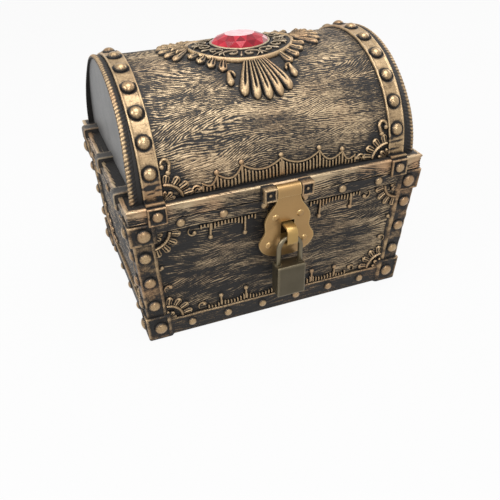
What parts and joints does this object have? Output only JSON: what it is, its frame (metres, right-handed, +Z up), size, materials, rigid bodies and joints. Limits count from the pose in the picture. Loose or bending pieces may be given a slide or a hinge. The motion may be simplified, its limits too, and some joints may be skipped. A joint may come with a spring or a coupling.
{
  "type": "treasure chest box",
  "caption": "Small keepsake chest with a tapered box, an arched hinged lid set with an oval gem, riveted straps, a swinging hasp over a staple, and a hanging padlock.",
  "frame": {"origin": "centre of the flat underside, on the surface that the chest stands on", "axes": "+X to the chest's right seen from the front, +Y to the back, where the hinges are, +Z up"},
  "size_m": [0.186, 0.1536, 0.1575],
  "materials": {
    "carved_grain": "moulded wood grain, near black with bronze rubbed over the ridges",
    "plain_panel": "smooth dull charcoal paint",
    "trim_bronze": "antique bronze paint, dark in the hollows and worn bright on the edges",
    "rivet_bronze": "antique bronze paint, worn bright on the crowns",
    "red_gem": "clear red, faceted and polished",
    "hasp_brass": "satin antique brass plate",
    "staple_brass": "bright brass strip",
    "shackle_metal": "antique bronze wire",
    "lock_bronze": "brushed antique bronze, lighter on the edges",
    "hinge_brass": "satin antique brass"
  },
  "bodies": {
    "box": {"box_bottom_band": "trim_bronze", "box_bottom_band_rivets": "rivet_bronze", "box_bottom_caps": "trim_bronze", "box_bottom_combs": "trim_bronze", "box_corner_rivets": "rivet_bronze", "box_front_fans": "trim_bronze", "box_hinge_leaf_left": "hinge_brass", "box_hinge_leaf_right": "hinge_brass", "box_hinge_screws": "hinge_brass", "box_shell": "carved_grain", "box_side_fans_left": "trim_bronze", "box_side_fans_right": "trim_bronze", "box_strap_back_left": "trim_bronze", "box_strap_back_right": "trim_bronze", "box_strap_front_left": "trim_bronze", "box_strap_front_right": "trim_bronze", "box_top_band": "trim_bronze", "box_top_band_rivets": "rivet_bronze", "box_top_caps": "trim_bronze", "box_top_combs": "trim_bronze", "hinge_pin_left": "hinge_brass", "hinge_pin_right": "hinge_brass", "staple": "staple_brass", "staple_plate": "staple_brass"},
    "lid": {"gem": "red_gem", "gem_collar": "trim_bronze", "gem_fan_back": "trim_bronze", "gem_fan_front": "trim_bronze", "gem_fan_left": "trim_bronze", "gem_fan_right": "trim_bronze", "gem_flange": "trim_bronze", "gem_mount_rim": "trim_bronze", "gem_petals": "trim_bronze", "hasp_ear_left": "hasp_brass", "hasp_ear_right": "hasp_brass", "hasp_pin": "hasp_brass", "lid_bead_left": "trim_bronze", "lid_bead_right": "trim_bronze", "lid_comb": "trim_bronze", "lid_end_panel_left": "plain_panel", "lid_end_panel_right": "plain_panel", "lid_fan_left": "trim_bronze", "lid_fan_right": "trim_bronze", "lid_hinge_leaf_left": "hinge_brass", "lid_hinge_leaf_right": "hinge_brass", "lid_hinge_screws": "hinge_brass", "lid_rim": "carved_grain", "lid_rivets": "rivet_bronze", "lid_shell": "carved_grain", "lid_side_clips": "trim_bronze", "lid_strap_caps": "trim_bronze", "lid_strap_left": "trim_bronze", "lid_strap_right": "trim_bronze"},
    "hasp": {"hasp_plate": "hasp_brass", "hasp_studs": "hasp_brass"},
    "lock_shackle": {"padlock_shackle": "shackle_metal"},
    "lock_case": {"padlock_case": "lock_bronze"},
    "lock_plug": {"padlock_plug": "lock_bronze"}
  },
  "joints": [
    {"name": "lid_hinge", "type": "hinge", "parent": "box", "child": "lid", "pos_m": [0, 0.0708, 0.08415], "axis": [-1, 0, 0], "range_deg": [0, 105]},
    {"name": "hasp_hinge", "type": "hinge", "parent": "lid", "child": "hasp", "pos_m": [0, -0.0712, 0.0904], "axis": [-1, 0, 0], "range_deg": [0, 150]},
    {"name": "padlock_swing", "type": "hinge", "parent": "box", "child": "lock_shackle", "pos_m": [0, -0.07568, 0.06091], "axis": [-1, 0, 0], "range_deg": [-5, 60]},
    {"name": "shackle_slide", "type": "slide", "parent": "lock_shackle", "child": "lock_case", "axis": [0, 0, -1], "range_m": [0, 0.006]},
    {"name": "plug_turn", "type": "hinge", "parent": "lock_case", "child": "lock_plug", "pos_m": [0, -0.07568, 0.0225], "axis": [0, 0, 1], "range_deg": [0, 90]}
  ]
}
